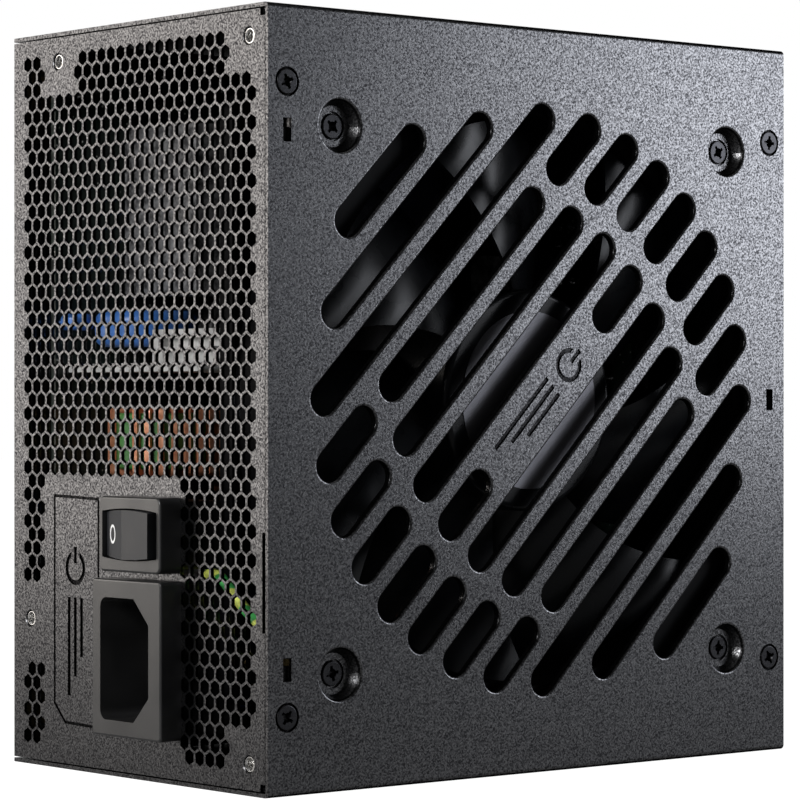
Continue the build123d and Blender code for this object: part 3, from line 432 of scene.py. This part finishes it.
# ---------------------------------------------------------------- set
def add_camera():
    """Level camera 40 degrees round to the rear panel's side, as far off as a 150 mm lens needs."""
    turn = math.radians(40)
    aside, away = 0.02481, 0.6282  # from the case's near upright edge
    forward = Vector((math.sin(turn), math.cos(turn), 0))
    right = Vector((math.cos(turn), -math.sin(turn), 0))
    near_edge = Vector((CASE_LOW.x, CASE_LOW.y, MIDDLE.z))
    data = bpy.data.cameras.new("camera")
    data.lens = 150.4
    data.clip_start = 0.01
    camera = bpy.data.objects.new("camera", data)
    camera.location = near_edge + right * aside - forward * away
    camera.rotation_euler = forward.to_track_quat("-Z", "Y").to_euler()
    bpy.context.collection.objects.link(camera)
    bpy.context.scene.camera = camera


def add_softbox(name, place, aim, size, watts, colour=(1, 1, 1)):
    """A rectangular area light at a place, turned to face another."""
    data = bpy.data.lights.new(name, "AREA")
    data.shape = "RECTANGLE"
    data.size, data.size_y = size
    data.energy = watts
    data.color = colour
    light = bpy.data.objects.new(name, data)
    light.location = place
    light.rotation_euler = (Vector(aim) - Vector(place)).to_track_quat("-Z", "Y").to_euler()
    bpy.context.collection.objects.link(light)


def add_lights():
    """A cool softbox on the right, a warm one on the left, one into the vents, and two wide ones."""
    cool, warm = (0.90, 0.93, 1.0), (1.0, 0.94, 0.88)
    add_softbox("right_softbox", (0.54, -0.42, 0.215), (0.06, -0.04, 0.17), (0.30, 0.30), 1.9, cool)
    add_softbox("left_softbox", (-0.46, 0.60, 0.235), (-0.07, 0.0, 0.205), (0.42, 0.46), 2.25, warm)
    add_softbox("rear_softbox", (-0.75, -0.12, 0.34), (-0.06, 0.0, 0.08), (0.25, 0.25), 4.8)
    add_softbox("top_softbox", (0.1, 0.1, 1.0), (0, 0, 0.1), (1.2, 1.2), 3.2)
    add_softbox("back_softbox", (0.55, 0.95, 0.45), (0, 0, 0.1), (0.9, 0.9), 3.0)


def only_for_camera(tree, seen, unseen):
    """A value that is one number to the camera and another to the light that falls on the object."""
    path = tree.nodes.new("ShaderNodeLightPath")
    mix = tree.nodes.new("ShaderNodeMix")
    factor, value_a, value_b = mix.inputs[0], mix.inputs[2], mix.inputs[3]
    value_a.default_value = unseen
    value_b.default_value = seen
    tree.links.new(path.outputs["Is Camera Ray"], factor)
    return mix.outputs[0]


def add_world():
    """White to the camera, dim to everything else, so that the dark case keeps its contrast."""
    world = bpy.data.worlds.new("studio")
    bpy.context.scene.world = world
    world.use_nodes = True
    background = world.node_tree.nodes["Background"]
    background.inputs["Color"].default_value = (1, 1, 1, 1)
    strength = only_for_camera(world.node_tree, 1.0, 0.06)
    world.node_tree.links.new(strength, background.inputs["Strength"])


def add_floor():
    """A pale paper floor that melts into the white backdrop."""
    mesh = bpy.data.meshes.new("floor")
    half = 3.0
    corners = [(-half, -half, 0), (half, -half, 0), (half, half, 0), (-half, half, 0)]
    mesh.from_pydata(corners, [], [(0, 1, 2, 3)])
    floor = bpy.data.objects.new("floor", mesh)
    bpy.context.collection.objects.link(floor)
    s = Shader("floor_paper")
    s.link(s.ramp(s.noise(40.0), [(0.3, 0.15), (0.7, 0.17)]), "Base Color")
    s.link(s.bump(s.noise(1.0), 0.02, 0.2), "Normal")
    s.set(Roughness=0.9, Emission_Color=(1, 1, 1, 1))
    s.link(only_for_camera(s.tree, 1.0, 0.16), "Emission Strength")
    mesh.materials.append(s.material)


bpy.context.scene.view_settings.view_transform = "Standard"
paint_everything()
add_threads(metal("bare_thread", (0.85, 0.84, 0.82), 0.24))
add_rocker_mark(moulded("white_print", (0.86, 0.86, 0.84), 0.45))
add_solder_joints(metal("solder", (0.74, 0.74, 0.76), 0.22))
add_camera()
add_lights()
add_world()
add_floor()
